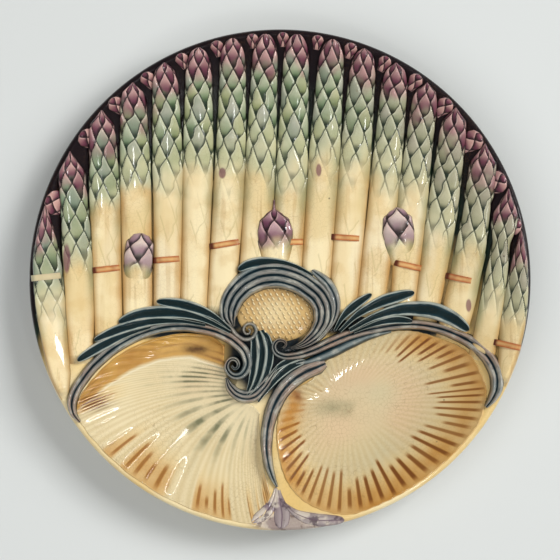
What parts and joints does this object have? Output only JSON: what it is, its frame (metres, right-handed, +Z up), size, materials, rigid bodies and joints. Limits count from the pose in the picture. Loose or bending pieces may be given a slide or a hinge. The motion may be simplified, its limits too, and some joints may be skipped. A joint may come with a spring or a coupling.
{
  "type": "asparagus plate",
  "caption": "Round moulded earthenware plate with asparagus spears in relief over the upper half, and two ribbed sauce shells below scrolls and a basket-weave cartouche.",
  "frame": {"origin": "centre of the plate on the table plane, under the foot ring", "axes": "+Z up from the table, +Y towards the tips of the spears, +X to the right seen from above"},
  "size_m": [0.24, 0.24, 0.0311],
  "materials": {
    "body_glaze": "glossy cream tin glaze, darkened to plum at the upper rim",
    "cream_glaze": "glossy cream glaze with fine crazing",
    "spear_glaze": "glossy cream glaze that turns green and purple towards the tips",
    "purple_glaze": "glossy aubergine glaze",
    "band_glaze": "glossy orange-brown glaze",
    "shell_glaze": "glossy cream glaze with amber and brown streaks",
    "scroll_glaze": "glossy dark teal glaze, pale on the ridges",
    "lavender_glaze": "glossy pale lavender glaze"
  },
  "bodies": {
    "root": {"basket_panel": "cream_glaze", "bud_left": "spear_glaze", "bud_middle": "spear_glaze", "bud_right": "spear_glaze", "cartouche": "scroll_glaze", "cartouche_volute": "scroll_glaze", "centre_leaf": "scroll_glaze", "centre_swirl": "scroll_glaze", "divider": "scroll_glaze", "foot_ring": "body_glaze", "leaf_left_1": "scroll_glaze", "leaf_left_2": "scroll_glaze", "leaf_left_3": "scroll_glaze", "leaf_left_4": "scroll_glaze", "leaf_right_1": "scroll_glaze", "leaf_right_2": "scroll_glaze", "leaf_right_3": "scroll_glaze", "leaf_right_4": "scroll_glaze", "plate_body": "body_glaze", "rim_tips": "purple_glaze", "scroll_left": "scroll_glaze", "scroll_right": "scroll_glaze", "shell_left": "shell_glaze", "shell_right": "shell_glaze", "spear_01": "spear_glaze", "spear_02": "spear_glaze", "spear_03": "spear_glaze", "spear_04": "spear_glaze", "spear_05": "spear_glaze", "spear_06": "spear_glaze", "spear_07": "spear_glaze", "spear_08": "spear_glaze", "spear_09": "spear_glaze", "spear_10": "spear_glaze", "spear_11": "spear_glaze", "spear_12": "spear_glaze", "spear_13": "spear_glaze", "spear_14": "spear_glaze", "spear_15": "spear_glaze", "spear_16": "spear_glaze", "spear_17": "spear_glaze", "stem_bands": "band_glaze", "toe_tip": "lavender_glaze"}
  },
  "joints": []
}
